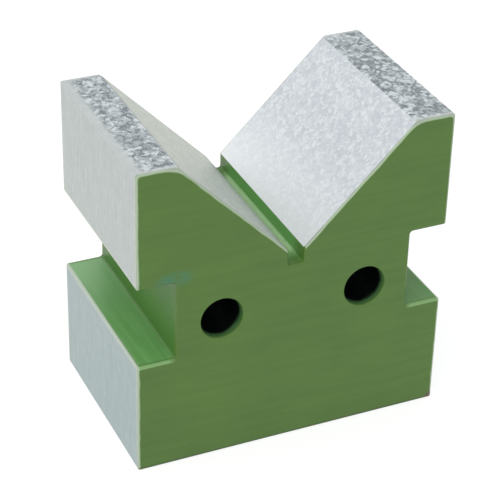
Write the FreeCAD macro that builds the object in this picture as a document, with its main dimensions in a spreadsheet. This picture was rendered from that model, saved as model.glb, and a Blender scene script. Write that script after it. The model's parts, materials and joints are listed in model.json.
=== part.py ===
import FreeCAD, Part
import math
import os

import Sketcher

# A vee block for holding round bar: one grey-iron casting with a 90 degree vee along its
# top, a relief slot under the vee, a clamp slot down each side and two through holes.
# Millimetres, +Z up. The origin is the middle of the underside and the vee runs along Y.

NODE = "v_block"

doc = FreeCAD.newDocument("vee_block")


# ------------------------------------------------------------------ driving sizes

SIZES = [
    ("block_width", 150.0, "across the two side lands"),
    ("block_height", 152.5, "underside to the top lands"),
    ("block_depth", 94.0, "along the vee"),
    ("top_land", 18.7, "width of the flat on each side of the vee"),
    ("vee_angle", 90.0, "between the two vee faces"),
    ("relief_width", 7.6, "slot under the vee, so that a square corner can enter it"),
    ("relief_depth", 7.5, "from the lower edges of the vee faces to the slot's floor"),
    ("relief_root", 1.0, "radius in the corners of the relief slot"),
    ("slot_depth", 18.0, "how far each side slot cuts in"),
    ("slot_floor", 56.5, "height of the side slots' floor"),
    ("slot_ceiling", 96.0, "height of the side slots' ceiling"),
    ("slot_root", 1.5, "radius in the inner corners of the side slots"),
    ("hole_bore", 20.0, "diameter of the through holes"),
    ("hole_pitch", 70.0, "between the two holes"),
    ("hole_height", 72.5, "underside to the holes' centres"),
    ("hole_lip", 1.0, "chamfer round the mouths of the holes"),
    ("cast_round", 1.5, "rounding of the unmachined edges of both ends"),
    ("ground_edge", 1.0, "chamfer along the machined faces"),
    ("overrun", 5.0, "how far a cutting profile stands out of the block"),
]

sheet = doc.addObject("Spreadsheet::Sheet", "sizes")
for row, (alias, value, note) in enumerate(SIZES, start=1):
    sheet.set(f"A{row}", alias)
    sheet.set(f"B{row}", str(value))
    sheet.set(f"C{row}", note)
    sheet.setAlias(f"B{row}", alias)
doc.recompute()


def size(alias):
    """Value of one cell, used to pick edges by their place."""
    return float(sheet.get(alias))


# ------------------------------------------------------------------ sketch helpers

LEVEL_AXIS = -1
UP_AXIS = -2
START = 1
END = 2
CENTRE = 3
SKETCH_ORIGIN = (LEVEL_AXIS, START)


def sketch_on(body, role, name):
    """A new sketch on one of the body's own origin planes."""
    plane = next(p for p in body.Origin.OriginFeatures if p.Role == role)
    sketch = body.newObject("Sketcher::SketchObject", name)
    sketch.AttachmentSupport = [(plane, "")]
    sketch.MapMode = "FlatFace"
    return sketch


def closed_loop(sketch, corners):
    """Straight sides through the corners, joined end to end; side i starts at corner i."""
    sides = []
    for here, there in zip(corners, corners[1:] + corners[:1]):
        line = Part.LineSegment(FreeCAD.Vector(*here), FreeCAD.Vector(*there))
        sides.append(sketch.addGeometry(line, False))
    for side, following in zip(sides, sides[1:] + sides[:1]):
        sketch.addConstraint(Sketcher.Constraint("Coincident", side, END, following, START))
    return sides


def mirror_point(sketch, side, end, other_side, other_end):
    """Keep two points level and at equal distances from the middle plane."""
    mirror = Sketcher.Constraint("Symmetric", side, end, other_side, other_end, UP_AXIS)
    sketch.addConstraint(mirror)


def rectangle(sketch, left, low, right, high, centred=False):
    """Upright rectangle, its bottom level or centred on the middle plane, as four sides."""
    corners = [(left, low), (right, low), (right, high), (left, high)]
    bottom, east, top, west = closed_loop(sketch, corners)
    if centred:
        mirror_point(sketch, bottom, START, bottom, END)
    else:
        sketch.addConstraint(Sketcher.Constraint("Horizontal", bottom))
    sketch.addConstraint(Sketcher.Constraint("Horizontal", top))
    sketch.addConstraint(Sketcher.Constraint("Vertical", east))
    sketch.addConstraint(Sketcher.Constraint("Vertical", west))
    return bottom, east, top, west


def bind(sketch, constraint, expression):
    """Add a dimension and drive it from the sheet."""
    index = sketch.addConstraint(constraint)
    sketch.setExpression(f"Constraints[{index}]", expression)


# ------------------------------------------------------------------ solid helpers

NEAR = 0.01


def cut_through(body, sketch, name):
    """Pocket the sketch right through, both ways, and make sure that it removed metal."""
    doc.recompute()
    before = body.Shape.Volume
    pocket = body.newObject("PartDesign::Pocket", name)
    pocket.Profile = sketch
    pocket.SideType = "Symmetric"
    pocket.Type = "ThroughAll"
    doc.recompute()
    if body.Shape.Volume > before - 1.0:
        raise RuntimeError(f"{name} cut nothing")


def runs_along_y(edge):
    return edge.BoundBox.YLength > edge.BoundBox.XLength + edge.BoundBox.ZLength


def edges_where(shape, wanted):
    """Names of the edges that satisfy a test on the edge and its middle point."""
    names = []
    for number, edge in enumerate(shape.Edges, start=1):
        middle = edge.valueAt((edge.FirstParameter + edge.LastParameter) / 2)
        if wanted(edge, middle):
            names.append(f"Edge{number}")
    return names


def round_edges(body, name, radius, wanted):
    """Fillet of the edges that satisfy the test; radius is an alias of the sheet."""
    base = body.Tip
    fillet = body.newObject("PartDesign::Fillet", name)
    fillet.Base = (base, edges_where(base.Shape, wanted))
    fillet.setExpression("Radius", f"sizes.{radius}")
    doc.recompute()


def chamfer_edges(body, name, leg, wanted):
    """Chamfer of the edges that satisfy the test; leg is an alias of the sheet."""
    base = body.Tip
    chamfer = body.newObject("PartDesign::Chamfer", name)
    chamfer.Base = (base, edges_where(base.Shape, wanted))
    chamfer.setExpression("Size", f"sizes.{leg}")
    doc.recompute()


# ------------------------------------------------------------------ the casting

body = doc.addObject("PartDesign::Body", NODE)
body.Label = NODE

width = size("block_width")
height = size("block_height")
depth = size("block_depth")

blank = sketch_on(body, "XZ_Plane", "blank_outline")
bottom, east, _, _ = rectangle(blank, -width / 2, 0, width / 2, height, centred=True)
blank.addConstraint(Sketcher.Constraint("PointOnObject", bottom, START, LEVEL_AXIS))
bind(blank, Sketcher.Constraint("DistanceX", bottom, START, bottom, END, width), "sizes.block_width")
bind(blank, Sketcher.Constraint("DistanceY", east, START, east, END, height), "sizes.block_height")

casting = body.newObject("PartDesign::Pad", "blank")
casting.Profile = blank
casting.SideType = "Symmetric"
casting.setExpression("Length", "sizes.block_depth")
doc.recompute()


# The clamp slots are open at both ends, cast in, with a small radius in their roots.

slot_wall = width / 2 - size("slot_depth")
slot_mouth = width / 2 + size("overrun")
slots = sketch_on(body, "XZ_Plane", "slot_outlines")
right_floor, _, right_ceiling, _ = rectangle(
    slots, slot_wall, size("slot_floor"), slot_mouth, size("slot_ceiling"))
left_floor, _, left_ceiling, _ = rectangle(
    slots, -slot_mouth, size("slot_floor"), -slot_wall, size("slot_ceiling"))
bind(slots, Sketcher.Constraint("DistanceX", *SKETCH_ORIGIN, right_floor, START, slot_wall),
     "sizes.block_width / 2 - sizes.slot_depth")
bind(slots, Sketcher.Constraint("DistanceX", *SKETCH_ORIGIN, right_floor, END, slot_mouth),
     "sizes.block_width / 2 + sizes.overrun")
bind(slots, Sketcher.Constraint("DistanceY", *SKETCH_ORIGIN, right_floor, START, size("slot_floor")),
     "sizes.slot_floor")
bind(slots, Sketcher.Constraint("DistanceY", *SKETCH_ORIGIN, right_ceiling, START, size("slot_ceiling")),
     "sizes.slot_ceiling")
mirror_point(slots, right_floor, START, left_floor, END)
mirror_point(slots, right_ceiling, START, left_ceiling, END)
cut_through(body, slots, "side_slots")


def is_slot_root(edge, middle):
    return runs_along_y(edge) and abs(abs(middle.x) - slot_wall) < NEAR


round_edges(body, "slot_roots", "slot_root", is_slot_root)


# The vee is planed into the top and the relief slot is milled along its bottom.

vee_mouth = width - 2 * size("top_land")
half_angle = math.radians(size("vee_angle") / 2)
vee_apex = height - vee_mouth / 2 / math.tan(half_angle)
vee_root = vee_apex + size("relief_width") / 2 / math.tan(half_angle)

vee = sketch_on(body, "XZ_Plane", "vee_outline")
left_face, right_face, mouth = closed_loop(
    vee, [(-vee_mouth / 2, height), (0, vee_apex), (vee_mouth / 2, height)])
mirror_point(vee, mouth, START, mouth, END)
vee.addConstraint(Sketcher.Constraint("PointOnObject", right_face, START, UP_AXIS))
bind(vee, Sketcher.Constraint("DistanceX", mouth, END, mouth, START, vee_mouth),
     "sizes.block_width - 2 * sizes.top_land")
bind(vee, Sketcher.Constraint("DistanceY", *SKETCH_ORIGIN, mouth, START, height),
     "sizes.block_height")
bind(vee, Sketcher.Constraint("Angle", right_face, START, left_face, END, 2 * half_angle),
     "sizes.vee_angle")
cut_through(body, vee, "vee")

relief_floor = vee_root - size("relief_depth")
relief = sketch_on(body, "XZ_Plane", "relief_outline")
half_relief = size("relief_width") / 2
bottom, east, _, _ = rectangle(
    relief, -half_relief, relief_floor, half_relief, vee_root + half_relief, centred=True)
bind(relief, Sketcher.Constraint("DistanceX", bottom, START, bottom, END, 2 * half_relief),
     "sizes.relief_width")
bind(relief, Sketcher.Constraint("DistanceY", *SKETCH_ORIGIN, bottom, START, relief_floor),
     "sizes.block_height - sizes.relief_depth"
     " - (sizes.block_width / 2 - sizes.top_land - sizes.relief_width / 2) / tan(sizes.vee_angle / 2)")
bind(relief, Sketcher.Constraint("DistanceY", east, START, east, END, size("relief_depth")),
     "sizes.relief_depth + sizes.relief_width / 2")
cut_through(body, relief, "relief_slot")


def is_relief_root(edge, middle):
    return runs_along_y(edge) and abs(middle.z - relief_floor) < NEAR


round_edges(body, "relief_roots", "relief_root", is_relief_root)


# Two holes run from end to end, for a clamp bolt or for handling pins.

holes = sketch_on(body, "XZ_Plane", "hole_centres")
holes.setExpression("AttachmentOffset.Base.z", "sizes.block_depth / 2")
hole_radius = size("hole_bore") / 2
out_of_sketch = FreeCAD.Vector(0, 0, 1)
circles = []
for side in (-1, 1):
    centre = FreeCAD.Vector(side * size("hole_pitch") / 2, size("hole_height"))
    circles.append(holes.addGeometry(Part.Circle(centre, out_of_sketch, hole_radius), False))
left_hole, right_hole = circles
mirror_point(holes, left_hole, CENTRE, right_hole, CENTRE)
holes.addConstraint(Sketcher.Constraint("Equal", left_hole, right_hole))
bind(holes, Sketcher.Constraint("DistanceX", left_hole, CENTRE, right_hole, CENTRE, size("hole_pitch")),
     "sizes.hole_pitch")
bind(holes, Sketcher.Constraint("DistanceY", *SKETCH_ORIGIN, left_hole, CENTRE, size("hole_height")),
     "sizes.hole_height")
bind(holes, Sketcher.Constraint("Diameter", left_hole, 2 * hole_radius), "sizes.hole_bore")
doc.recompute()

bores = body.newObject("PartDesign::Hole", "bores")
bores.Profile = holes
bores.DepthType = "ThroughAll"
bores.setExpression("Diameter", "sizes.hole_bore")
doc.recompute()


def is_hole_mouth(edge, middle):
    return isinstance(edge.Curve, Part.Circle) and abs(edge.Curve.Radius - hole_radius) < NEAR


chamfer_edges(body, "hole_lips", "hole_lip", is_hole_mouth)


# ------------------------------------------------------------------ edges

def on_an_end(middle):
    return abs(abs(middle.y) - depth / 2) < NEAR


def borders_a_slot(middle):
    level = size("slot_floor") - NEAR < middle.z < size("slot_ceiling") + NEAR
    inside = slot_wall - NEAR < abs(middle.x) < width / 2 - NEAR
    return level and inside


# The cast slots keep soft edges under their paint where they run out at both ends.

def is_cast_edge(edge, middle):
    return on_an_end(middle) and borders_a_slot(middle)


round_edges(body, "cast_edges", "cast_round", is_cast_edge)


# Every edge of a ground, planed or scraped face is broken with a small chamfer.

def is_ground_edge(edge, middle):
    if on_an_end(middle):
        return not borders_a_slot(middle) and not isinstance(edge.Curve, Part.Circle)
    on_side_land = abs(abs(middle.x) - width / 2) < NEAR
    on_top_land = abs(middle.z - height) < NEAR
    return runs_along_y(edge) and (on_side_land or on_top_land)


chamfer_edges(body, "ground_edges", "ground_edge", is_ground_edge)


# ------------------------------------------------------------------ checks and export

for item in doc.Objects:
    if "Invalid" in item.State or "Error" in item.State:
        raise RuntimeError(f"{item.Name} failed: {item.State}")
if body.Shape.isNull() or not body.Shape.isValid() or len(body.Shape.Solids) != 1:
    raise RuntimeError(f"{NODE} isn't one valid solid")

os.makedirs("parts", exist_ok=True)
body.Shape.exportStep(f"parts/{body.Label}.step")
box = body.Shape.BoundBox
print(f"{body.Label}: {box.XLength:.2f} x {box.YLength:.2f} x {box.ZLength:.2f} mm, "
      f"{body.Shape.Volume / 1000:.1f} cm3")
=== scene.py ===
import bpy
import json
import math
from mathutils import Matrix, Vector


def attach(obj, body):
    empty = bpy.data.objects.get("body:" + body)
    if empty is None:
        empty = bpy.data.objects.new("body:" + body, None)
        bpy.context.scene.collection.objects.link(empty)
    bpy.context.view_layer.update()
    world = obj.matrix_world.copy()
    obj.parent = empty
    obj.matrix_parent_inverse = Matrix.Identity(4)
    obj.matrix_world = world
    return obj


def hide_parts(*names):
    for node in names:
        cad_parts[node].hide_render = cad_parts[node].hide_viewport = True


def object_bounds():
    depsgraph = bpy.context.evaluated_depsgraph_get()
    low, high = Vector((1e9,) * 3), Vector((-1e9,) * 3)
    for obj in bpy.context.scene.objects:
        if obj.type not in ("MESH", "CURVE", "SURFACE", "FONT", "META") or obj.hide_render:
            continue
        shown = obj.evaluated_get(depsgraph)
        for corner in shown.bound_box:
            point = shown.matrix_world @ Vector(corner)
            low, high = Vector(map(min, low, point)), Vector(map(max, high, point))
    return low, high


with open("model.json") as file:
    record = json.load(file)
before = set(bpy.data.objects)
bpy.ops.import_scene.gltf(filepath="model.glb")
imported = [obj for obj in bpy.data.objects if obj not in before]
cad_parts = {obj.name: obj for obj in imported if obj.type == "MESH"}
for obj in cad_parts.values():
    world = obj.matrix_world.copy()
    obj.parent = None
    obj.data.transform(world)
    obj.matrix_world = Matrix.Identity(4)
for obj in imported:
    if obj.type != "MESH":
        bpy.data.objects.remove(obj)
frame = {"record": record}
cad_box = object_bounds()


# ---------------------------------------------------------------- the casting
# A vee block cast in grey iron. Its two clamp slots are cast in, the vee is planed
# across the top with a relief slot milled under it, and two holes are drilled from
# end to end. Machined edges are broken, and the cast ones are rounder.

MM = 0.001
low, high = (Vector(corner) for corner in cad_box)
width, depth, height = high - low
half_width = width / 2
half_depth = depth / 2
TOP_LAND = 18.7 * MM
SLOT_DEPTH = 18 * MM
SLOT_FLOOR = 56.5 * MM
SLOT_CEILING = 96 * MM
RELIEF_WIDTH = 7.6 * MM
RELIEF_DEPTH = 7.5 * MM
CAST_ROUND = 1.5 * MM
ROOT_ROUND = 1.5 * MM
RELIEF_ROUND = 1.0 * MM
BROKEN_EDGE = 1.0 * MM
EDGE_STEPS = 3
ROOT_STEPS = 4
BORE_SIDES = 96
SAME_POINT = 0.01 * MM
CUTTER_SPARE = 10 * MM
NEAR = 0.05 * MM

slot_wall = half_width - SLOT_DEPTH
vee_apex = height - (half_width - TOP_LAND)
vee_root = vee_apex + RELIEF_WIDTH / 2
relief_floor = vee_root - RELIEF_DEPTH
past_end = half_depth + CUTTER_SPARE
holes = [mount for mount in frame["record"]["mounts"] if mount["kind"] == "bore"]


def block(name, one_corner, other_corner):
    """A plain block of stock between two opposite corners."""
    one_corner, other_corner = Vector(one_corner), Vector(other_corner)
    bpy.ops.object.select_all(action="DESELECT")
    bpy.ops.mesh.primitive_cube_add(size=1, location=(one_corner + other_corner) / 2)
    stock = bpy.context.active_object
    stock.name = name
    stock.data.name = name
    stock.scale = [abs(length) for length in other_corner - one_corner]
    bpy.ops.object.transform_apply(location=True, rotation=True, scale=True)
    return stock


def cut(work, cutter):
    """Takes the cutter's shape out of the work and puts the cutter away."""
    bpy.ops.object.select_all(action="DESELECT")
    bpy.context.view_layer.objects.active = work
    work.select_set(True)
    bpy.ops.object.modifier_add(type="BOOLEAN")
    work.modifiers[-1].operation = "DIFFERENCE"
    work.modifiers[-1].solver = "EXACT"
    work.modifiers[-1].object = cutter
    bpy.ops.object.modifier_apply(modifier=work.modifiers[-1].name)
    bpy.data.objects.remove(cutter)


def slice_at(place, direction):
    """Cuts all the faces of the work along a plane, in edit mode. Nothing is removed."""
    bpy.ops.mesh.select_all(action="SELECT")
    bpy.ops.mesh.bisect(plane_co=place, plane_no=direction, threshold=SAME_POINT)


# Each end face is marked out through the hole centres, so that no face has a hole in it.
casting = block("vee_block_casting", low, high)
bpy.ops.object.mode_set(mode="EDIT")
for hole in holes:
    slice_at(hole["pos_m"], (1, 0, 0))
slice_at(holes[0]["pos_m"], (0, 0, 1))
bpy.ops.object.mode_set(mode="OBJECT")

for side in (-1, 1):
    cut(casting, block("slot_core",
                       (side * slot_wall, -past_end, SLOT_FLOOR),
                       (side * (half_width + CUTTER_SPARE), past_end, SLOT_CEILING)))

# The vee's cutter is a square bar stood on its corner, and that corner is the apex.
half_side = half_width / math.sqrt(2)
vee_cutter = block("vee_cutter", (-half_side, -past_end, -half_side), (half_side, past_end, half_side))
vee_cutter.rotation_euler = (0, math.radians(45), 0)
vee_cutter.location = (0, 0, vee_apex + half_width)
bpy.ops.object.transform_apply(location=True, rotation=True, scale=True)
cut(casting, vee_cutter)

cut(casting, block("relief_cutter",
                   (-RELIEF_WIDTH / 2, -past_end, relief_floor),
                   (RELIEF_WIDTH / 2, past_end, vee_root + RELIEF_WIDTH)))

for hole in holes:
    bpy.ops.object.select_all(action="DESELECT")
    bpy.ops.mesh.primitive_cylinder_add(
        vertices=BORE_SIDES, radius=hole["dims"]["r_mm"] * MM, depth=2 * past_end,
        location=hole["pos_m"], rotation=(math.radians(90), 0, 0))
    bpy.ops.object.transform_apply(location=True, rotation=True, scale=True)
    cut(casting, bpy.context.active_object)


def select_edges(work, wanted):
    """Selects the edges whose middle point and direction pass the test, in edit mode."""
    bpy.ops.object.mode_set(mode="EDIT")
    bpy.ops.mesh.select_mode(type="EDGE")
    bpy.ops.mesh.select_all(action="DESELECT")
    bpy.ops.object.mode_set(mode="OBJECT")
    points = work.data.vertices
    for edge in work.data.edges:
        start, end = (points[number].co for number in edge.vertices)
        edge.select = wanted((start + end) / 2, (end - start).normalized())
    bpy.ops.object.mode_set(mode="EDIT")


def runs_along(direction):
    return abs(direction.y) > 0.9


def at_an_end(middle):
    return abs(abs(middle.y) - half_depth) < NEAR


def beside_a_slot(middle):
    level = SLOT_FLOOR - NEAR < middle.z < SLOT_CEILING + NEAR
    return level and slot_wall - NEAR < abs(middle.x) < half_width - NEAR


def off_hole(middle):
    """How far a point is outside the wall of the nearer hole."""
    return min(math.hypot(middle.x - hole["pos_m"][0], middle.z - hole["pos_m"][2])
               - hole["dims"]["r_mm"] * MM for hole in holes)


def is_slot_root(middle, direction):
    return runs_along(direction) and abs(abs(middle.x) - slot_wall) < NEAR


def is_relief_root(middle, direction):
    return runs_along(direction) and abs(middle.z - relief_floor) < NEAR


def is_hole_mouth(middle, direction):
    return at_an_end(middle) and off_hole(middle) < NEAR


def is_cast_edge(middle, direction):
    in_slot = (abs(middle.x) - slot_wall < ROOT_ROUND + NEAR
               or abs(middle.z - SLOT_FLOOR) < NEAR or abs(middle.z - SLOT_CEILING) < NEAR)
    return at_an_end(middle) and beside_a_slot(middle) and in_slot


def is_machined_edge(middle, direction):
    on_side = abs(abs(middle.x) - half_width) < NEAR
    on_top_or_bottom = middle.z < NEAR or middle.z > height - NEAR
    if not at_an_end(middle):
        return runs_along(direction) and (on_side or on_top_or_bottom)
    on_vee = abs(abs(middle.x) - (middle.z - vee_apex)) < NEAR
    in_relief = relief_floor - NEAR < middle.z < vee_root
    on_relief = in_relief and (
        RELIEF_WIDTH / 2 - RELIEF_ROUND - NEAR < abs(middle.x) < RELIEF_WIDTH / 2 + NEAR
        or abs(middle.z - relief_floor) < NEAR and abs(middle.x) < RELIEF_WIDTH / 2)
    return on_side or on_top_or_bottom or on_vee or on_relief


bpy.ops.object.select_all(action="DESELECT")
bpy.context.view_layer.objects.active = casting
casting.select_set(True)
for wanted, size, steps in ((is_slot_root, ROOT_ROUND, ROOT_STEPS),
                            (is_relief_root, RELIEF_ROUND, EDGE_STEPS),
                            (is_hole_mouth, BROKEN_EDGE, EDGE_STEPS)):
    select_edges(casting, wanted)
    bpy.ops.mesh.bevel(offset=size, offset_type="OFFSET", segments=steps)
    bpy.ops.object.mode_set(mode="OBJECT")

# Both kinds of edge are broken in one pass, so that they meet cleanly at the corners.
weights = casting.data.attributes.new("bevel_weight_edge", "FLOAT", "EDGE")
for edge in casting.data.edges:
    start, end = (casting.data.vertices[number].co for number in edge.vertices)
    middle, direction = (start + end) / 2, (end - start).normalized()
    if is_cast_edge(middle, direction):
        weights.data[edge.index].value = 1
    elif is_machined_edge(middle, direction):
        weights.data[edge.index].value = BROKEN_EDGE / CAST_ROUND
bpy.ops.object.modifier_add(type="BEVEL")
casting.modifiers[-1].limit_method = "WEIGHT"
casting.modifiers[-1].width = CAST_ROUND
casting.modifiers[-1].segments = EDGE_STEPS
bpy.ops.object.modifier_apply(modifier=casting.modifiers[-1].name)

# Sliced every 3 mm, the faces have enough points to take a casting's uneven surface.
SLICE = 3 * MM
bpy.ops.object.mode_set(mode="EDIT")
for axis in range(3):
    direction = Vector((axis == 0, axis == 1, axis == 2))
    count = round((high - low)[axis] / SLICE)
    for number in range(1, count):
        slice_at(low + direction * (high - low)[axis] * number / count, direction)
bpy.ops.mesh.select_all(action="SELECT")
bpy.ops.mesh.remove_doubles(threshold=SAME_POINT)
bpy.ops.mesh.quads_convert_to_tris(quad_method="BEAUTY", ngon_method="BEAUTY")
bpy.ops.object.mode_set(mode="OBJECT")

# The sand mould left the painted faces wavy by a tenth or two. The waves only go in.
CAST_WAVE = 0.22 * MM
WAVE_LENGTH = 14 * MM
PAINT_CLEAR = 3 * MM
SMOOTH_BELOW = math.radians(35)
cast_skin = casting.vertex_groups.new(name="cast_skin")
for point in casting.data.vertices:
    place = point.co
    from_bare_face = min(half_width - abs(place.x), height - place.z, place.z,
                         (abs(place.x) - (place.z - vee_apex)) / math.sqrt(2))
    from_end = half_depth - abs(place.y)
    on_end = from_end < NEAR and from_bare_face > 0 and off_hole(place) > BROKEN_EDGE - NEAR
    in_slot = beside_a_slot(place) and from_end > CAST_ROUND
    if on_end or in_slot:
        reach = min(from_bare_face, off_hole(place) if on_end else from_end)
        cast_skin.add([point.index], min(1, max(0, reach / PAINT_CLEAR)), "REPLACE")
waves = bpy.data.textures.new("mould_waves", "CLOUDS")
waves.noise_scale = WAVE_LENGTH
waves.noise_depth = 1
bpy.ops.object.modifier_add(type="DISPLACE")
casting.modifiers[-1].texture = waves
casting.modifiers[-1].texture_coords = "LOCAL"
casting.modifiers[-1].vertex_group = "cast_skin"
casting.modifiers[-1].mid_level = 1
casting.modifiers[-1].strength = CAST_WAVE
bpy.ops.object.modifier_apply(modifier=casting.modifiers[-1].name)
bpy.ops.object.shade_smooth_by_angle(angle=SMOOTH_BELOW)
bpy.ops.object.modifier_add(type="WEIGHTED_NORMAL")
casting.modifiers[-1].keep_sharp = True
bpy.ops.object.modifier_apply(modifier=casting.modifiers[-1].name)

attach(casting, "root")
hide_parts("v_block")


# ---------------------------------------------------------------- enamel
# The ends, the slots and the relief slot are left as cast and drilled, and painted with
# one thick coat of air-drying machine enamel. It is brushed on, wiped off the machined
# faces while wet, and so ends in a thin pale line along their broken edges.

def linear(code):
    """The linear colour of an sRGB hex value."""
    parts = [int(code[start:start + 2], 16) / 255 for start in (1, 3, 5)]
    return [part / 12.92 if part <= 0.04045 else ((part + 0.055) / 1.055) ** 2.4 for part in parts] + [1]


def add(tree, kind, sockets, **settings):
    """Adds a node with its settings, fills or links its sockets, and gives its outputs."""
    new = tree.nodes.new(kind)
    for name, value in settings.items():
        setattr(new, name, value)
    for socket, value in sockets.items():
        if isinstance(value, bpy.types.NodeSocket):
            tree.links.new(value, new.inputs[socket])
        else:
            new.inputs[socket].default_value = value
    return new.outputs


def new_material(name):
    """An empty node material and its tree."""
    material = bpy.data.materials.new(name)
    material.use_nodes = True
    material.node_tree.nodes.clear()
    return material, material.node_tree


def cycles(size):
    """The scale of a noise whose features are about this size in millimetres."""
    return 1 / (size * MM)


# A noise runs from 0 to 1, but keeps mostly between these two values.
NOISE_LOW, NOISE_HIGH = 0.3, 0.7

# Air-drying alkyd enamel over cast iron gives the eye an olive, half-matt coat with soft
# brush lines. The slots are given a cooler, paler green than the ends, as painted light on
# their up-facing floors.
END_GREEN = linear("#52772D")
END_GREEN_THIN = linear("#577C33")
SLOT_LIT_GREEN = linear("#6BA45C")
SLOT_LIT_GREEN_THIN = linear("#79B06B")
RELIEF_GREEN = linear("#74B062")
RELIEF_BED_LIT_GREEN = linear("#B4D6A5")
SHADED_WALL_GREEN = linear("#4B7B31")
SLOT_GREEN_PALE = linear("#93C48C")
FRINGE_GREEN = linear("#B3C8A8")
FLOOR_EDGE_HIGHLIGHT = linear("#93C080")
BARE_IRON = linear("#A9B3A6")
SMEAR_TEAL = linear("#44805F")
CHIP_BROWN = linear("#665A4C")
BOTTOM_SHADE_GREEN = linear("#3E5730")

# Names in _MM are the sizes of a noise's features.
CORNER_EASE = 6 * MM
BARE_REACH = 0.3 * MM
FRINGE_START = 0.5 * MM
FRINGE_END = 1.3 * MM
RELIEF_LIP = 0.6 * MM
NO_FRINGE = 5 * MM
WANDER = 0.22 * MM
WANDER_LENGTH_MM = 9
STROKE_WIDTH_MM = 2.2
STROKE_STRETCH = 0.06
SLOT_STROKE_WIDTH_MM = 2.0
SLOT_STROKE_STRETCH = 0.05
END_COAT_START = 3 * MM
END_COAT_FULL = 0.8 * MM
POOL_WIDTH_MM = 26
GRAIN_MM = 1.6
RIDGE_HEIGHT = 0.03 * MM
BED_LIGHT_START = 5 * MM
BED_LIGHT_FULL = 14 * MM
SMEAR_CENTRE = (57.5 * MM, half_depth, -98 * MM)
SMEAR_SQUASH = (1 / 9, 1 / 9, 1 / 4)
SMEAR_FULL = 0.2 * MM
SMEAR_END = 1.2 * MM
SMEAR_RAGGED_MM = 7
EDGE_HIGHLIGHT_WIDTH = 1.4 * MM
EDGE_HIGHLIGHT_FULL = 0.9 * MM
EDGE_HIGHLIGHT_END = 1.6 * MM
EDGE_HIGHLIGHT_FADE = 3 * MM
BOTTOM_SHADE_FULL = 0.7 * MM
BOTTOM_SHADE_END = 2.0 * MM
CHIP_START = 3.0 * MM
CHIP_END = 4.4 * MM

enamel, tree = new_material("brushed_green_machine_enamel")
place = add(tree, "ShaderNodeTexCoord", {})["Object"]
x, y, z = add(tree, "ShaderNodeSeparateXYZ", {"Vector": place})
across = add(tree, "ShaderNodeMath", {0: x}, operation="ABSOLUTE")[0]
along = add(tree, "ShaderNodeMath", {0: y}, operation="ABSOLUTE")[0]

# How far a point is from the nearest machined face. The corners between them are eased.
off_side = add(tree, "ShaderNodeMath", {0: half_width, 1: across}, operation="SUBTRACT")[0]
off_top = add(tree, "ShaderNodeMath", {0: height, 1: z}, operation="SUBTRACT")[0]
over_vee = add(tree, "ShaderNodeMath", {0: across, 1: z}, operation="SUBTRACT")[0]
off_vee = add(tree, "ShaderNodeMath", {0: over_vee, 1: vee_apex}, operation="ADD")[0]
off_vee = add(tree, "ShaderNodeMath", {0: off_vee, 1: math.sqrt(0.5)}, operation="MULTIPLY")[0]
bare = add(tree, "ShaderNodeMath", {0: off_top, 1: off_vee, 2: CORNER_EASE}, operation="SMOOTH_MIN")[0]
bare = add(tree, "ShaderNodeMath", {0: bare, 1: off_side, 2: CORNER_EASE / 2}, operation="SMOOTH_MIN")[0]

# The vee's faces stop at the relief slot, so the paint in that slot has no pale line.
by_relief = add(tree, "ShaderNodeMapRange", {"Value": across, "From Min": RELIEF_WIDTH / 2,
                                             "From Max": RELIEF_WIDTH / 2 + RELIEF_LIP,
                                             "To Min": NO_FRINGE, "To Max": 0})[0]
bare = add(tree, "ShaderNodeMath", {0: bare, 1: by_relief}, operation="ADD")[0]

# The line where the paint ends wanders a little.
wander = add(tree, "ShaderNodeTexNoise", {
    "Vector": place, "Scale": cycles(WANDER_LENGTH_MM), "Detail": 2})[0]
wander = add(tree, "ShaderNodeMapRange", {"Value": wander, "From Min": NOISE_LOW,
                                          "From Max": NOISE_HIGH,
                                          "To Min": -WANDER, "To Max": WANDER})[0]
bare = add(tree, "ShaderNodeMath", {0: bare, 1: wander}, operation="ADD")[0]
fringe = add(tree, "ShaderNodeMapRange", {"Value": bare, "From Min": FRINGE_START, "From Max": FRINGE_END,
                                          "To Min": 1, "To Max": 0}, interpolation_type="SMOOTHSTEP")[0]
metal = add(tree, "ShaderNodeMapRange", {"Value": bare, "From Min": 0, "From Max": BARE_REACH,
                                         "To Min": 1, "To Max": 0}, interpolation_type="SMOOTHSTEP")[0]

# Brush strokes run across the ends and along the slots. A bristle's own line is too fine to
# show, so these are as wide as a few bristles together.
end_strokes = add(tree, "ShaderNodeMapping", {"Vector": place, "Scale": (STROKE_STRETCH, 1, 1)})[0]
end_strokes = add(tree, "ShaderNodeTexNoise", {
    "Vector": end_strokes, "Scale": cycles(STROKE_WIDTH_MM), "Detail": 4})[0]
slot_strokes = add(tree, "ShaderNodeMapping", {"Vector": place, "Scale": (1, SLOT_STROKE_STRETCH, 1)})[0]
slot_strokes = add(tree, "ShaderNodeTexNoise", {
    "Vector": slot_strokes, "Scale": cycles(SLOT_STROKE_WIDTH_MM), "Detail": 4})[0]
on_end = add(tree, "ShaderNodeMapRange", {
    "Value": along, "From Min": half_depth - END_COAT_START, "From Max": half_depth - END_COAT_FULL},
    interpolation_type="SMOOTHSTEP")[0]
strokes = add(tree, "ShaderNodeMix", {0: on_end, 2: slot_strokes, 3: end_strokes})[0]
thin = add(tree, "ShaderNodeMapRange", {"Value": strokes, "From Min": 0.35, "From Max": 0.7},
           interpolation_type="SMOOTHSTEP")[0]
pools = add(tree, "ShaderNodeTexNoise", {"Vector": place, "Scale": cycles(POOL_WIDTH_MM), "Detail": 2})[0]
pools = add(tree, "ShaderNodeMapRange", {"Value": pools, "From Min": NOISE_LOW, "From Max": NOISE_HIGH,
                                         "To Min": 0.95, "To Max": 1.05})[0]
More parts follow.
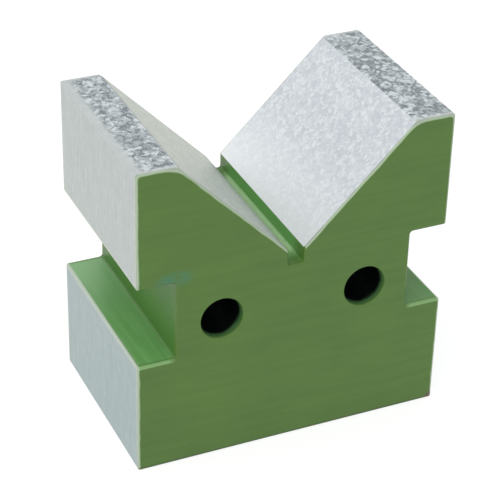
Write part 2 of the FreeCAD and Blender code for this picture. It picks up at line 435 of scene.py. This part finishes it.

# The ends are darkest. The slots pale towards the back. The relief slot's bed is given a pale
# green as painted light, and the slot walls and the right slot are darkened as painted shade.
end_colour = add(tree, "ShaderNodeMix", {0: thin, 6: END_GREEN, 7: END_GREEN_THIN}, data_type="RGBA")[2]
slot_colour = add(tree, "ShaderNodeMix", {0: thin, 6: SLOT_LIT_GREEN, 7: SLOT_LIT_GREEN_THIN},
                  data_type="RGBA")[2]
# Painted shade: the right slot, turned from the lamp, goes half way to the dark wall green.
right_slot_shade = add(tree, "ShaderNodeMapRange", {
    "Value": x, "From Min": 0, "From Max": slot_wall, "To Max": 0.5})[0]
to_back = add(tree, "ShaderNodeMapRange", {
    "Value": y, "From Min": -0.2 * half_depth, "From Max": half_depth})[0]
slot_colour = add(tree, "ShaderNodeMix", {0: right_slot_shade, 6: slot_colour, 7: SHADED_WALL_GREEN},
                  data_type="RGBA")[2]
slot_colour = add(tree, "ShaderNodeMix", {0: to_back, 6: slot_colour, 7: SLOT_GREEN_PALE},
                  data_type="RGBA")[2]
# Painted shade: the slot walls under the upper block take the dark wall green.
on_wall = add(tree, "ShaderNodeMapRange", {"Value": across, "From Min": slot_wall + 0.2 * MM,
                                           "From Max": slot_wall + ROOT_ROUND, "To Min": 1, "To Max": 0})[0]
slot_colour = add(tree, "ShaderNodeMix", {0: on_wall, 6: slot_colour, 7: SHADED_WALL_GREEN}, data_type="RGBA")[2]
# Painted light: the relief slot's up-facing bed is given a pale green, fading out near the ends.
in_relief = add(tree, "ShaderNodeMath", {0: across, 1: RELIEF_WIDTH}, operation="LESS_THAN")[0]
lit_bed = add(tree, "ShaderNodeMath", {0: z, 1: relief_floor + RELIEF_ROUND}, operation="LESS_THAN")[0]
inward = add(tree, "ShaderNodeMapRange", {"Value": along, "From Min": half_depth - BED_LIGHT_FULL,
                                          "From Max": half_depth - BED_LIGHT_START,
                                          "To Min": 1, "To Max": 0})[0]
lit_bed = add(tree, "ShaderNodeMath", {0: lit_bed, 1: inward}, operation="MULTIPLY")[0]
relief_colour = add(tree, "ShaderNodeMix", {0: lit_bed, 6: RELIEF_GREEN, 7: RELIEF_BED_LIT_GREEN},
                    data_type="RGBA")[2]
outward = add(tree, "ShaderNodeMath", {0: 0.8, 1: inward}, operation="SUBTRACT", use_clamp=True)[0]
relief_colour = add(tree, "ShaderNodeMix", {0: outward, 6: relief_colour, 7: END_GREEN},
                    data_type="RGBA")[2]
inner_colour = add(tree, "ShaderNodeMix", {0: in_relief, 6: slot_colour, 7: relief_colour},
                   data_type="RGBA")[2]
coat = add(tree, "ShaderNodeMix", {0: on_end, 6: inner_colour, 7: end_colour}, data_type="RGBA")[2]
coat = add(tree, "ShaderNodeVectorMath", {0: coat, "Scale": pools}, operation="SCALE")[0]

# An old smear of coolant has dyed the enamel under the left shoulder.
smear_shape = add(tree, "ShaderNodeTexNoise", {
    "Vector": place, "Scale": cycles(SMEAR_RAGGED_MM), "Detail": 3})[0]
smear_place = add(tree, "ShaderNodeMapping", {"Vector": place, "Location": SMEAR_CENTRE})[0]
smear_place = add(tree, "ShaderNodeVectorMath", {0: smear_place, 1: SMEAR_SQUASH},
                  operation="MULTIPLY")[0]
smear = add(tree, "ShaderNodeVectorMath", {0: smear_place}, operation="LENGTH")["Value"]
smear = add(tree, "ShaderNodeMapRange", {"Value": smear, "From Min": SMEAR_FULL, "From Max": SMEAR_END,
                                         "To Min": 1, "To Max": 0})[0]
smear_shape = add(tree, "ShaderNodeMapRange", {"Value": smear_shape, "From Min": 0.3, "From Max": 0.5})[0]
smear = add(tree, "ShaderNodeMath", {0: smear, 1: smear_shape}, operation="MULTIPLY")[0]
coat = add(tree, "ShaderNodeMix", {0: smear, 6: coat, 7: SMEAR_TEAL}, data_type="RGBA")[2]

# A painted highlight: a pale green on the soft cast edge where each slot floor runs out, standing for the
# light that edge catches.
under_floor = add(tree, "ShaderNodeMath", {0: SLOT_FLOOR, 1: z}, operation="SUBTRACT")[0]
off_end = add(tree, "ShaderNodeMath", {0: half_depth, 1: along}, operation="SUBTRACT")[0]
painted_edge_highlight = add(tree, "ShaderNodeMath", {0: under_floor, 1: EDGE_HIGHLIGHT_WIDTH / 2, 2: EDGE_HIGHLIGHT_WIDTH / 2},
             operation="COMPARE")[0]
near_end = add(tree, "ShaderNodeMapRange", {"Value": off_end, "From Min": EDGE_HIGHLIGHT_FULL,
                                            "From Max": EDGE_HIGHLIGHT_END, "To Min": 1, "To Max": 0})[0]
past_wall = add(tree, "ShaderNodeMapRange", {"Value": across, "From Min": slot_wall,
                                             "From Max": slot_wall + EDGE_HIGHLIGHT_FADE,
                                             "To Max": 0.75})[0]
painted_edge_highlight = add(tree, "ShaderNodeMath", {0: painted_edge_highlight, 1: near_end}, operation="MULTIPLY")[0]
painted_edge_highlight = add(tree, "ShaderNodeMath", {0: painted_edge_highlight, 1: past_wall}, operation="MULTIPLY")[0]
coat = add(tree, "ShaderNodeMix", {0: painted_edge_highlight, 6: coat, 7: FLOOR_EDGE_HIGHLIGHT}, data_type="RGBA")[2]
coat = add(tree, "ShaderNodeMix", {0: fringe, 6: coat, 7: FRINGE_GREEN}, data_type="RGBA")[2]
coat = add(tree, "ShaderNodeMix", {0: metal, 6: coat, 7: BARE_IRON}, data_type="RGBA")[2]

# Painted shade darkens the bottom edge of each end, where it meets the floor.
painted_bottom_shade = add(tree, "ShaderNodeMapRange", {"Value": z, "From Min": BOTTOM_SHADE_FULL, "From Max": BOTTOM_SHADE_END,
                                        "To Min": 0.75, "To Max": 0})[0]
coat = add(tree, "ShaderNodeMix", {0: painted_bottom_shade, 6: coat, 7: BOTTOM_SHADE_GREEN}, data_type="RGBA")[2]

# A knock has chipped the enamel off the bottom right corner of the front end.
chip_place = add(tree, "ShaderNodeMapping", {
    "Vector": place, "Location": (-half_width, half_depth, 0)})[0]
chip = add(tree, "ShaderNodeVectorMath", {0: chip_place}, operation="LENGTH")["Value"]
chip = add(tree, "ShaderNodeMath", {0: chip, 1: wander}, operation="ADD")[0]
chip = add(tree, "ShaderNodeMapRange", {"Value": chip, "From Min": CHIP_START, "From Max": CHIP_END,
                                        "To Min": 0.85, "To Max": 0})[0]
coat = add(tree, "ShaderNodeMix", {0: chip, 6: coat, 7: CHIP_BROWN}, data_type="RGBA")[2]

# The coat's own texture: brush ridges over the grain of the sand mould.
grain = add(tree, "ShaderNodeTexNoise", {"Vector": place, "Scale": cycles(GRAIN_MM), "Detail": 3})[0]
ridges = add(tree, "ShaderNodeMath", {0: strokes, 1: grain}, operation="ADD")[0]
bump = add(tree, "ShaderNodeBump", {"Height": ridges, "Distance": RIDGE_HEIGHT, "Strength": 0.5})[0]
roughness = add(tree, "ShaderNodeMapRange", {"Value": strokes, "From Min": NOISE_LOW,
                                             "From Max": NOISE_HIGH,
                                             "To Min": 0.36, "To Max": 0.46})[0]
shader = add(tree, "ShaderNodeBsdfPrincipled", {
    "Base Color": coat, "Metallic": metal, "Roughness": roughness, "IOR": 1.48, "Normal": bump})
add(tree, "ShaderNodeOutputMaterial", {"Surface": shader[0]})
casting.data.materials.append(enamel)


# ---------------------------------------------------------------- scraped top lands
# The two top lands are ground and then scraped by hand to break up the surface and hold
# oil. Each push of the scraper leaves a short shallow flake, in two crossing directions.

PUSH_DIRECTIONS = (38, -50)


def scraper_flakes(tree, plane, length, breadth):
    """Light and dark flakes, 0 to 1, in two crossing directions on a plane in metres. Used as a colour, it
    paints each flake's reflection.
    """
    drift = add(tree, "ShaderNodeTexNoise", {"Vector": plane, "Scale": cycles(length), "Detail": 1},
                noise_dimensions="2D")["Color"]
    drift = add(tree, "ShaderNodeVectorMath", {0: drift, 1: (0.5, 0.5, 0.5)}, operation="SUBTRACT")[0]
    drift = add(tree, "ShaderNodeVectorMath", {0: drift, "Scale": 0.9 * length * MM},
                operation="SCALE")[0]
    hand = add(tree, "ShaderNodeVectorMath", {0: plane, 1: drift}, operation="ADD")[0]
    shades = []
    for turn in PUSH_DIRECTIONS:
        push = add(tree, "ShaderNodeMapping", {"Vector": hand, "Rotation": (0, 0, math.radians(turn))})[0]
        push = add(tree, "ShaderNodeMapping", {"Vector": push, "Scale": (1, breadth / length, 1)})[0]
        cells = add(tree, "ShaderNodeTexVoronoi", {"Vector": push, "Scale": cycles(breadth)},
                    voronoi_dimensions="2D")
        tone = add(tree, "ShaderNodeSeparateColor", {"Color": cells["Color"]})[0]
        rim = add(tree, "ShaderNodeMapRange", {"Value": cells["Distance"], "From Min": 0.25,
                                               "From Max": 0.75, "To Min": 1, "To Max": 0})[0]
        shade = add(tree, "ShaderNodeMath", {0: tone, 1: rim}, operation="MULTIPLY")[0]
        shades.append(shade)
    patches = add(tree, "ShaderNodeTexNoise", {
        "Vector": plane, "Scale": cycles(length * 0.8), "Detail": 1}, noise_dimensions="2D")[0]
    patches = add(tree, "ShaderNodeMapRange", {"Value": patches, "From Min": 0.44, "From Max": 0.56})[0]
    return add(tree, "ShaderNodeMix", {0: patches, 2: shades[0], 3: shades[1]})[0]


# Scraped grey iron gives the eye a broken silver, as each flake turns its own way. Here the
# flakes' light and dark reflections are painted into the colour. The flakes are 2.4 by 4.6 mm,
# and the fine grain between them is drawn coarse enough to show.
FLAKE_LENGTH_MM = 4.6
FLAKE_WIDTH_MM = 2.4
FINE_GRAIN_MM = 0.9
UNSCRAPED_START = 2.6 * MM
UNSCRAPED_END = 4.6 * MM
UNSCRAPED_EASE = 4 * MM
UNSCRAPED_RAGGED = 6 * MM
NARROWER_AT_ENDS = 1.5 * MM
FLAKE_DEPTH = 0.1 * MM
FLAKE_DARK_REFLECTION = linear("#7F878C")
FLAKE_MID = linear("#ADB5B8")
FLAKE_LIGHT_REFLECTION = linear("#D2DADD")
UNSCRAPED = linear("#C7CDCC")

top_iron, tree = new_material("hand_scraped_cast_iron_lands")
place = add(tree, "ShaderNodeTexCoord", {})["Object"]
x, y, z = add(tree, "ShaderNodeSeparateXYZ", {"Vector": place})
plane = add(tree, "ShaderNodeCombineXYZ", {0: x, 1: y})[0]
flakes = scraper_flakes(tree, plane, FLAKE_LENGTH_MM, FLAKE_WIDTH_MM)
fine = add(tree, "ShaderNodeTexNoise", {"Vector": plane, "Scale": cycles(FINE_GRAIN_MM), "Detail": 2},
           noise_dimensions="2D")[0]
fine = add(tree, "ShaderNodeMapRange", {"Value": fine, "From Min": NOISE_LOW, "From Max": NOISE_HIGH,
                                        "To Min": -0.15, "To Max": 0.15})[0]
tone = add(tree, "ShaderNodeMath", {0: flakes, 1: fine}, operation="ADD")[0]
dark = add(tree, "ShaderNodeMapRange", {"Value": tone, "From Min": 0.02, "From Max": 0.22},
           interpolation_type="SMOOTHSTEP")[0]
light = add(tree, "ShaderNodeMapRange", {"Value": tone, "From Min": 0.3, "From Max": 0.75},
            interpolation_type="SMOOTHSTEP")[0]
iron = add(tree, "ShaderNodeMix", {0: dark, 6: FLAKE_DARK_REFLECTION, 7: FLAKE_MID}, data_type="RGBA")[2]
iron = add(tree, "ShaderNodeMix", {0: light, 6: iron, 7: FLAKE_LIGHT_REFLECTION}, data_type="RGBA")[2]

# The scraper stops short of the left edge and of both ends, where the grinding shows.
off_left = add(tree, "ShaderNodeMath", {0: x, 1: half_width}, operation="ADD")[0]
off_end = add(tree, "ShaderNodeMath", {0: y}, operation="ABSOLUTE")[0]
off_end = add(tree, "ShaderNodeMath", {0: half_depth + NARROWER_AT_ENDS, 1: off_end},
              operation="SUBTRACT")[0]
unscraped = add(tree, "ShaderNodeMath", {0: off_left, 1: off_end, 2: UNSCRAPED_EASE},
                operation="SMOOTH_MIN")[0]
ragged = add(tree, "ShaderNodeMath", {0: fine, 1: UNSCRAPED_RAGGED}, operation="MULTIPLY")[0]
unscraped = add(tree, "ShaderNodeMath", {0: unscraped, 1: ragged}, operation="ADD")[0]
unscraped = add(tree, "ShaderNodeMapRange", {"Value": unscraped, "From Min": UNSCRAPED_START,
                                             "From Max": UNSCRAPED_END,
                                             "To Min": 0.9, "To Max": 0})[0]
iron = add(tree, "ShaderNodeMix", {0: unscraped, 6: iron, 7: UNSCRAPED}, data_type="RGBA")[2]
bump = add(tree, "ShaderNodeBump", {"Height": tone, "Distance": FLAKE_DEPTH, "Strength": 0.5})[0]
shader = add(tree, "ShaderNodeBsdfPrincipled", {
    "Base Color": iron, "Metallic": 1, "Roughness": 0.42, "Normal": bump})
add(tree, "ShaderNodeOutputMaterial", {"Surface": shader[0]})
casting.data.materials.append(top_iron)


# ---------------------------------------------------------------- scraped vee
# The two faces of the vee locate round work, so they are ground and then scraped finer
# than the lands, with small bright flakes that hardly darken them.

# Fine scraping gives the eye a bright, even silver with a faint fleck in it. The flecks are painted
# reflections of the flakes.
VEE_FLAKE_LENGTH_MM = 3.4
VEE_FLAKE_WIDTH_MM = 1.9
VEE_FLAKE_DEPTH = 0.06 * MM
EDGE_SHADE_WIDTH = 1.2 * MM
HIGHLIGHT_HEIGHT = 26 * MM
VEE_DARK_REFLECTION = linear("#CBD1D6")
VEE_MID = linear("#D5DADF")
VEE_LIGHT_REFLECTION = linear("#E2E7EB")
LEFT_FACE_SHADE_TINT = linear("#DCDECF")
EDGE_SHADE_LINE = linear("#7D8280")
VEE_HIGHLIGHT = linear("#F2F6F8")

vee_iron, tree = new_material("fine_scraped_cast_iron_vee")
place = add(tree, "ShaderNodeTexCoord", {})["Object"]
x, y, z = add(tree, "ShaderNodeSeparateXYZ", {"Vector": place})
slope = add(tree, "ShaderNodeMath", {0: x}, operation="ABSOLUTE")[0]
slope = add(tree, "ShaderNodeMath", {0: slope, 1: z}, operation="ADD")[0]
slope = add(tree, "ShaderNodeMath", {0: slope, 1: math.sqrt(0.5)}, operation="MULTIPLY")[0]
plane = add(tree, "ShaderNodeCombineXYZ", {0: slope, 1: y})[0]
flakes = scraper_flakes(tree, plane, VEE_FLAKE_LENGTH_MM, VEE_FLAKE_WIDTH_MM)
dark = add(tree, "ShaderNodeMapRange", {"Value": flakes, "From Min": 0.0, "From Max": 0.25},
           interpolation_type="SMOOTHSTEP")[0]
light = add(tree, "ShaderNodeMapRange", {"Value": flakes, "From Min": 0.3, "From Max": 0.8},
            interpolation_type="SMOOTHSTEP")[0]
iron = add(tree, "ShaderNodeMix", {0: dark, 6: VEE_DARK_REFLECTION, 7: VEE_MID}, data_type="RGBA")[2]
iron = add(tree, "ShaderNodeMix", {0: light, 6: iron, 7: VEE_LIGHT_REFLECTION}, data_type="RGBA")[2]

# Painted shade: the left face, turned from the lamp, is given a warmer, duller tone.
on_left = add(tree, "ShaderNodeMath", {0: x, 1: 0}, operation="LESS_THAN")[0]
iron = add(tree, "ShaderNodeMix", {0: on_left, 6: iron, 7: LEFT_FACE_SHADE_TINT}, data_type="RGBA",
           blend_type="MULTIPLY")[2]

# Painted shade: a thin dark line along the left face's top edge, just below the broken edge.
painted_edge_shade = add(tree, "ShaderNodeMapRange", {"Value": z, "From Min": height - BROKEN_EDGE - EDGE_SHADE_WIDTH,
                                            "From Max": height - BROKEN_EDGE, "To Max": 0.8})[0]
painted_edge_shade = add(tree, "ShaderNodeMath", {0: painted_edge_shade, 1: on_left}, operation="MULTIPLY")[0]
iron = add(tree, "ShaderNodeMix", {0: painted_edge_shade, 6: iron, 7: EDGE_SHADE_LINE}, data_type="RGBA")[2]

# Painted highlight: the bottom of the right face is brightened, fading out upwards.
painted_highlight = add(tree, "ShaderNodeMapRange", {"Value": z, "From Min": vee_root,
                                         "From Max": vee_root + HIGHLIGHT_HEIGHT,
                                         "To Min": 0.8, "To Max": 0})[0]
on_right = add(tree, "ShaderNodeMath", {0: 1, 1: on_left}, operation="SUBTRACT")[0]
painted_highlight = add(tree, "ShaderNodeMath", {0: painted_highlight, 1: on_right}, operation="MULTIPLY")[0]
iron = add(tree, "ShaderNodeMix", {0: painted_highlight, 6: iron, 7: VEE_HIGHLIGHT}, data_type="RGBA")[2]
bump = add(tree, "ShaderNodeBump", {"Height": flakes, "Distance": VEE_FLAKE_DEPTH, "Strength": 0.4})[0]
shader = add(tree, "ShaderNodeBsdfPrincipled", {
    "Base Color": iron, "Metallic": 1, "Roughness": 0.45, "Normal": bump})
add(tree, "ShaderNodeOutputMaterial", {"Surface": shader[0]})
casting.data.materials.append(vee_iron)


# ---------------------------------------------------------------- ground sides
# The side lands and the underside are surface ground. The wheel leaves fine straight
# lines along its travel, and the lands are only lightly scraped over them.

# Surface-ground iron gives the eye a calm satin grey with hair lines. The real lines are
# a tenth of a millimetre apart, and are drawn 0.8 mm apart so that they show.
GRINDING_LINE_MM = 0.8
GRINDING_DEPTH = 0.02 * MM
LINE_STRETCH = 0.03
SIDE_FLAKE_LENGTH_MM = 5.0
SIDE_FLAKE_WIDTH_MM = 2.8
SIDE_FLAKE_SHARE = 0.4
WIPED_START = 1.0 * MM
WIPED_END = 2.4 * MM
WIPED_GREEN = linear("#C2CDB9")
SIDE_DARK = linear("#AFB6B4")
SIDE_LIGHT = linear("#C3C8C5")
LOWER_LAND_TINT = linear("#E2EEF1")

side_iron, tree = new_material("ground_cast_iron_sides")
place = add(tree, "ShaderNodeTexCoord", {})["Object"]
x, y, z = add(tree, "ShaderNodeSeparateXYZ", {"Vector": place})
plane = add(tree, "ShaderNodeCombineXYZ", {0: y, 1: z})[0]
lines = add(tree, "ShaderNodeMapping", {"Vector": plane, "Scale": (1, LINE_STRETCH, 1)})[0]
lines = add(tree, "ShaderNodeTexNoise", {"Vector": lines, "Scale": cycles(GRINDING_LINE_MM), "Detail": 4},
            noise_dimensions="2D")[0]
lines = add(tree, "ShaderNodeMapRange", {"Value": lines, "From Min": NOISE_LOW, "From Max": NOISE_HIGH})[0]
# As on the top lands, the flakes' light and dark are painted reflections.
flakes = scraper_flakes(tree, plane, SIDE_FLAKE_LENGTH_MM, SIDE_FLAKE_WIDTH_MM)
tone = add(tree, "ShaderNodeMix", {0: SIDE_FLAKE_SHARE, 2: lines, 3: flakes})[0]
iron = add(tree, "ShaderNodeMix", {0: tone, 6: SIDE_DARK, 7: SIDE_LIGHT}, data_type="RGBA")[2]

# The lower lands are given a slightly darker, bluer grey.
on_lower = add(tree, "ShaderNodeMath", {0: z, 1: SLOT_FLOOR}, operation="LESS_THAN")[0]
iron = add(tree, "ShaderNodeMix", {0: on_lower, 6: iron, 7: LOWER_LAND_TINT}, data_type="RGBA",
           blend_type="MULTIPLY")[2]

# A little enamel was wiped over their end edges and along the slots.
off_end = add(tree, "ShaderNodeMath", {0: y}, operation="ABSOLUTE")[0]
off_end = add(tree, "ShaderNodeMath", {0: half_depth, 1: off_end}, operation="SUBTRACT")[0]
off_slot = add(tree, "ShaderNodeMath", {0: z, 1: (SLOT_FLOOR + SLOT_CEILING) / 2},
               operation="SUBTRACT")[0]
off_slot = add(tree, "ShaderNodeMath", {0: off_slot}, operation="ABSOLUTE")[0]
off_slot = add(tree, "ShaderNodeMath", {0: off_slot, 1: (SLOT_CEILING - SLOT_FLOOR) / 2},
               operation="SUBTRACT")[0]
wiped = add(tree, "ShaderNodeMath", {0: off_end, 1: off_slot}, operation="MINIMUM")[0]
wiped = add(tree, "ShaderNodeMapRange", {"Value": wiped, "From Min": WIPED_START, "From Max": WIPED_END,
                                         "To Min": 0.7, "To Max": 0}, interpolation_type="SMOOTHSTEP")[0]
iron = add(tree, "ShaderNodeMix", {0: wiped, 6: iron, 7: WIPED_GREEN}, data_type="RGBA")[2]
bump = add(tree, "ShaderNodeBump", {"Height": lines, "Distance": GRINDING_DEPTH, "Strength": 0.5})[0]
shader = add(tree, "ShaderNodeBsdfPrincipled", {
    "Base Color": iron, "Metallic": 1, "Roughness": 0.42, "Normal": bump})
add(tree, "ShaderNodeOutputMaterial", {"Surface": shader[0]})
casting.data.materials.append(side_iron)


# ---------------------------------------------------------------- underside
# The underside is the base that the block stands on, ground flat in one setting with
# the wheel's lines along the block's width. It gives the eye the same satin grey as the
# sides.

base_iron, tree = new_material("ground_cast_iron_base")
place = add(tree, "ShaderNodeTexCoord", {})["Object"]
lines = add(tree, "ShaderNodeMapping", {"Vector": place, "Scale": (LINE_STRETCH, 1, 1)})[0]
lines = add(tree, "ShaderNodeTexNoise", {
    "Vector": lines, "Scale": cycles(GRINDING_LINE_MM), "Detail": 4})[0]
lines = add(tree, "ShaderNodeMapRange", {"Value": lines, "From Min": NOISE_LOW, "From Max": NOISE_HIGH})[0]
iron = add(tree, "ShaderNodeMix", {0: lines, 6: SIDE_DARK, 7: SIDE_LIGHT}, data_type="RGBA")[2]
bump = add(tree, "ShaderNodeBump", {"Height": lines, "Distance": GRINDING_DEPTH, "Strength": 0.5})[0]
shader = add(tree, "ShaderNodeBsdfPrincipled", {
    "Base Color": iron, "Metallic": 1, "Roughness": 0.4, "Normal": bump})
add(tree, "ShaderNodeOutputMaterial", {"Surface": shader[0]})
casting.data.materials.append(base_iron)


# ---------------------------------------------------------------- bores
# The holes are drilled after casting and left unpainted but for the spray of enamel that
# reached in at each mouth. Inside, the iron is painted near black as shade for the deep
# bore, and carries drill marks.

# The bore wall is painted near black as shade deep in the hole, with a green crescent of enamel just inside
# each mouth.
DRILL_MARK_MM = 0.7
DRILL_MARK_STRETCH = 0.1
DRILL_MARK_DEPTH = 0.04 * MM
SPRAY_FULL = 2.5 * MM
SPRAY_END = 6 * MM
SPRAY_RAGGED = 1.2 * MM
BORE_SHADE_IRON = linear("#2A3033")
BORE_SPRAY = linear("#4E7A45")

bore_iron, tree = new_material("drilled_cast_iron_bores")
place = add(tree, "ShaderNodeTexCoord", {})["Object"]
x, y, z = add(tree, "ShaderNodeSeparateXYZ", {"Vector": place})
along = add(tree, "ShaderNodeMath", {0: y}, operation="ABSOLUTE")[0]
rings = add(tree, "ShaderNodeMapping", {
    "Vector": place, "Scale": (DRILL_MARK_STRETCH, 1, DRILL_MARK_STRETCH)})[0]
rings = add(tree, "ShaderNodeTexNoise", {"Vector": rings, "Scale": cycles(DRILL_MARK_MM), "Detail": 3})[0]
spatter = add(tree, "ShaderNodeTexNoise", {
    "Vector": place, "Scale": cycles(WANDER_LENGTH_MM), "Detail": 2})[0]
spatter = add(tree, "ShaderNodeMapRange", {"Value": spatter, "From Min": NOISE_LOW,
                                           "From Max": NOISE_HIGH,
                                           "To Min": -SPRAY_RAGGED, "To Max": SPRAY_RAGGED})[0]
reach = add(tree, "ShaderNodeMath", {0: along, 1: spatter}, operation="ADD")[0]
spray = add(tree, "ShaderNodeMapRange", {"Value": reach, "From Min": half_depth - SPRAY_END,
                                         "From Max": half_depth - SPRAY_FULL},
            interpolation_type="SMOOTHSTEP")[0]
iron = add(tree, "ShaderNodeMix", {0: spray, 6: BORE_SHADE_IRON, 7: BORE_SPRAY}, data_type="RGBA")[2]
bare = add(tree, "ShaderNodeMath", {0: 1, 1: spray}, operation="SUBTRACT")[0]
bump = add(tree, "ShaderNodeBump", {"Height": rings, "Distance": DRILL_MARK_DEPTH, "Strength": 0.5})[0]
shader = add(tree, "ShaderNodeBsdfPrincipled", {
    "Base Color": iron, "Metallic": bare, "Roughness": 0.5, "Normal": bump})
add(tree, "ShaderNodeOutputMaterial", {"Surface": shader[0]})
casting.data.materials.append(bore_iron)

# Each face takes the finish of its place. The numbers are the order of the materials.
ENAMEL, TOP, VEE, SIDE, BASE, BORE = range(6)
for face in casting.data.polygons:
    middle, normal = face.center, face.normal
    in_bore = off_hole(middle) < NEAR and abs(normal.y) < 0.1
    on_vee = abs(abs(middle.x) - (middle.z - vee_apex)) < NEAR
    if in_bore:
        face.material_index = BORE
    elif abs(normal.y) > 0.1:
        face.material_index = ENAMEL
    elif middle.z > height - BROKEN_EDGE:
        face.material_index = TOP
    elif on_vee and middle.z > vee_root - NEAR:
        face.material_index = VEE
    elif half_width - abs(middle.x) < BROKEN_EDGE and middle.z > BROKEN_EDGE:
        face.material_index = SIDE
    elif middle.z < BROKEN_EDGE:
        face.material_index = BASE
    else:
        face.material_index = ENAMEL


# ---------------------------------------------------------------- stage
# A pale floor and a plain soft studio: an even pale surround, and one broad soft lamp
# above and to the left, so the left sides of things are the lighter ones.

FLOOR_RADIUS = 6
FLOOR_GLOW = 0.73
SURROUND = 0.62
LAMP_POWER = 11
SHEEN_POWER = 3
LAMP_SIZE = 2.4
LAMP_PLACE = (-0.9, -0.6, 1.15)

bpy.ops.object.select_all(action="DESELECT")
bpy.ops.mesh.primitive_circle_add(vertices=96, radius=FLOOR_RADIUS, fill_type="NGON", location=(0, 0, 0))
floor = bpy.context.active_object
floor.name = "floor"
paper, tree = new_material("pale_paper_floor")
rays = add(tree, "ShaderNodeLightPath", {})
seen = add(tree, "ShaderNodeMath", {0: rays["Is Camera Ray"], 1: rays["Is Glossy Ray"]},
           operation="MAXIMUM")[0]
seen = add(tree, "ShaderNodeMath", {0: seen, 1: rays["Is Transmission Ray"]}, operation="MAXIMUM")[0]
sheet = add(tree, "ShaderNodeBsdfDiffuse", {"Color": linear("#E4E4E4")})[0]
shadowed = add(tree, "ShaderNodeBsdfDiffuse", {"Color": linear("#B0B0B0")})[0]
glow = add(tree, "ShaderNodeEmission", {"Color": linear("#FFFFFF"), "Strength": FLOOR_GLOW})[0]
shown = add(tree, "ShaderNodeAddShader", {0: shadowed, 1: glow})[0]
surface = add(tree, "ShaderNodeMixShader", {0: seen, 1: sheet, 2: shown})[0]
add(tree, "ShaderNodeOutputMaterial", {"Surface": surface})
floor.data.materials.append(paper)

world = bpy.data.worlds.new("soft_surround")
world.use_nodes = True
tree = world.node_tree
tree.nodes.clear()
rays = add(tree, "ShaderNodeLightPath", {})
seen = add(tree, "ShaderNodeMath", {0: rays["Is Camera Ray"], 1: rays["Is Glossy Ray"]},
           operation="MAXIMUM")[0]
seen = add(tree, "ShaderNodeMath", {0: seen, 1: rays["Is Transmission Ray"]}, operation="MAXIMUM")[0]
strength = add(tree, "ShaderNodeMapRange", {"Value": seen, "To Min": SURROUND, "To Max": 1})[0]
light = add(tree, "ShaderNodeBackground", {"Color": linear("#FFFFFF"), "Strength": strength})[0]
add(tree, "ShaderNodeOutputWorld", {"Surface": light})
bpy.context.scene.world = world

# The lamp is one broad soft box. Most of its light is kept out of reflections, because
# bare iron would mirror the box as a patch brighter than white.
for name, power, mirrored in (("soft_lamp", LAMP_POWER, False), ("soft_lamp_sheen", SHEEN_POWER, True)):
    bpy.ops.object.light_add(type="AREA", location=LAMP_PLACE)
    lamp = bpy.context.active_object
    lamp.name = name
    lamp.data.shape = "DISK"
    lamp.data.size = LAMP_SIZE
    lamp.data.energy = power
    lamp.visible_glossy = mirrored
    lamp.rotation_euler = (Vector((0, 0, height / 2)) - lamp.location).to_track_quat("-Z", "Y").to_euler()

CAMERA_PLACE = (-311.65 * MM, -668.02 * MM, 526.43 * MM)
CAMERA_AZIMUTH = math.radians(24.958)
CAMERA_ELEVATION = math.radians(31.5985)
CAMERA_ROLL = math.radians(1.571)
CAMERA_LENS = 134.15

bpy.ops.object.camera_add()
camera = bpy.context.active_object
camera.name = "camera"
camera.data.lens = CAMERA_LENS
camera.matrix_world = (Matrix.Translation(CAMERA_PLACE)
                       @ Matrix.Rotation(-CAMERA_AZIMUTH, 4, "Z")
                       @ Matrix.Rotation(math.pi / 2 - CAMERA_ELEVATION, 4, "X")
                       @ Matrix.Rotation(CAMERA_ROLL, 4, "Z"))
bpy.context.scene.camera = camera
bpy.context.scene.view_settings.view_transform = "Standard"
